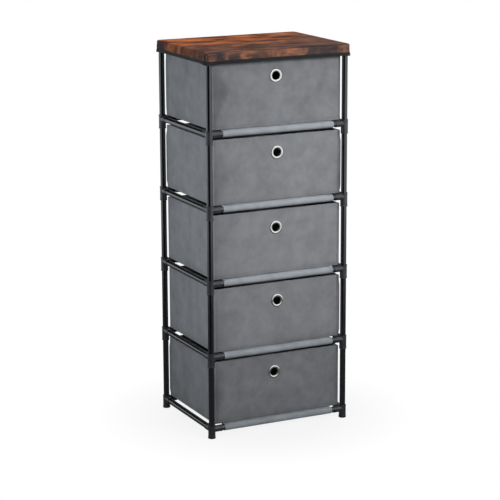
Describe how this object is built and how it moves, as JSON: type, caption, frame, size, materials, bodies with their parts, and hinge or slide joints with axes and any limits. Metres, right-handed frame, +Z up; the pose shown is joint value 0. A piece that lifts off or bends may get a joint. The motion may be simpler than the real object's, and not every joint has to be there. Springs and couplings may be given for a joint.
{
  "type": "fabric drawer dresser",
  "caption": "Tall free-standing dresser: push-fit steel tube frame with moulded corner connectors, cloth-covered top, and fabric box drawers with metal eyelet finger holes that slide out.",
  "frame": {"origin": "on the floor under the middle of the dresser", "axes": "+Z up, -Y the way the drawers pull out, +X to the right seen from the front"},
  "size_m": [0.43, 0.33, 1.05],
  "materials": {
    "black_tube": "satin black powder coat",
    "connector_plastic": "fine moulded grain",
    "glide_plastic": "smooth",
    "shelf_cloth": "light grey non-woven cloth",
    "drawer_cloth": "grey non-woven cloth",
    "lining_cloth": "grey non-woven cloth",
    "stiffener_board": "grey-brown board, cloth-faced where it shows",
    "top_panel": "hardboard",
    "wood_print_cloth": "smooth non-woven cloth with a common weathered wood-plank print",
    "binding_cloth": "black bias tape",
    "eyelet_metal": "polished nickel"
  },
  "bodies": {
    "frame": {"back_rail_tubes": "black_tube", "corner_connectors": "connector_plastic", "foot_connectors": "connector_plastic", "foot_glides": "glide_plastic", "front_rail_tubes": "black_tube", "shelf_cloth_1": "shelf_cloth", "shelf_cloth_2": "shelf_cloth", "shelf_cloth_3": "shelf_cloth", "shelf_cloth_4": "shelf_cloth", "shelf_cloth_5": "shelf_cloth", "side_tubes_left": "black_tube", "side_tubes_right": "black_tube", "top_board": "top_panel", "top_connectors": "connector_plastic", "top_cover": "wood_print_cloth", "top_cover_binding": "binding_cloth", "upright_tubes_back_left": "black_tube", "upright_tubes_back_right": "black_tube", "upright_tubes_front_left": "black_tube", "upright_tubes_front_right": "black_tube"},
    "drawer_1": {"drawer_1_outer_cloth": "drawer_cloth", "drawer_1_lining": "lining_cloth", "drawer_1_front_board": "stiffener_board", "drawer_1_back_board": "stiffener_board", "drawer_1_side_boards": "stiffener_board", "drawer_1_base_board": "stiffener_board", "drawer_1_eyelet": "eyelet_metal", "drawer_1_eyelet_washer": "eyelet_metal"},
    "drawer_2": {"drawer_2_outer_cloth": "drawer_cloth", "drawer_2_lining": "lining_cloth", "drawer_2_front_board": "stiffener_board", "drawer_2_back_board": "stiffener_board", "drawer_2_side_boards": "stiffener_board", "drawer_2_base_board": "stiffener_board", "drawer_2_eyelet": "eyelet_metal", "drawer_2_eyelet_washer": "eyelet_metal"},
    "drawer_3": {"drawer_3_outer_cloth": "drawer_cloth", "drawer_3_lining": "lining_cloth", "drawer_3_front_board": "stiffener_board", "drawer_3_back_board": "stiffener_board", "drawer_3_side_boards": "stiffener_board", "drawer_3_base_board": "stiffener_board", "drawer_3_eyelet": "eyelet_metal", "drawer_3_eyelet_washer": "eyelet_metal"},
    "drawer_4": {"drawer_4_outer_cloth": "drawer_cloth", "drawer_4_lining": "lining_cloth", "drawer_4_front_board": "stiffener_board", "drawer_4_back_board": "stiffener_board", "drawer_4_side_boards": "stiffener_board", "drawer_4_base_board": "stiffener_board", "drawer_4_eyelet": "eyelet_metal", "drawer_4_eyelet_washer": "eyelet_metal"},
    "drawer_5": {"drawer_5_outer_cloth": "drawer_cloth", "drawer_5_lining": "lining_cloth", "drawer_5_front_board": "stiffener_board", "drawer_5_back_board": "stiffener_board", "drawer_5_side_boards": "stiffener_board", "drawer_5_base_board": "stiffener_board", "drawer_5_eyelet": "eyelet_metal", "drawer_5_eyelet_washer": "eyelet_metal"}
  },
  "joints": [
    {"name": "drawer_1_slide", "type": "slide", "parent": "frame", "child": "drawer_1", "axis": [0, -1, 0], "range_m": [0, 0.33]},
    {"name": "drawer_2_slide", "type": "slide", "parent": "frame", "child": "drawer_2", "axis": [0, -1, 0], "range_m": [0, 0.33]},
    {"name": "drawer_3_slide", "type": "slide", "parent": "frame", "child": "drawer_3", "axis": [0, -1, 0], "range_m": [0, 0.33]},
    {"name": "drawer_4_slide", "type": "slide", "parent": "frame", "child": "drawer_4", "axis": [0, -1, 0], "range_m": [0, 0.33]},
    {"name": "drawer_5_slide", "type": "slide", "parent": "frame", "child": "drawer_5", "axis": [0, -1, 0], "range_m": [0, 0.33]}
  ]
}
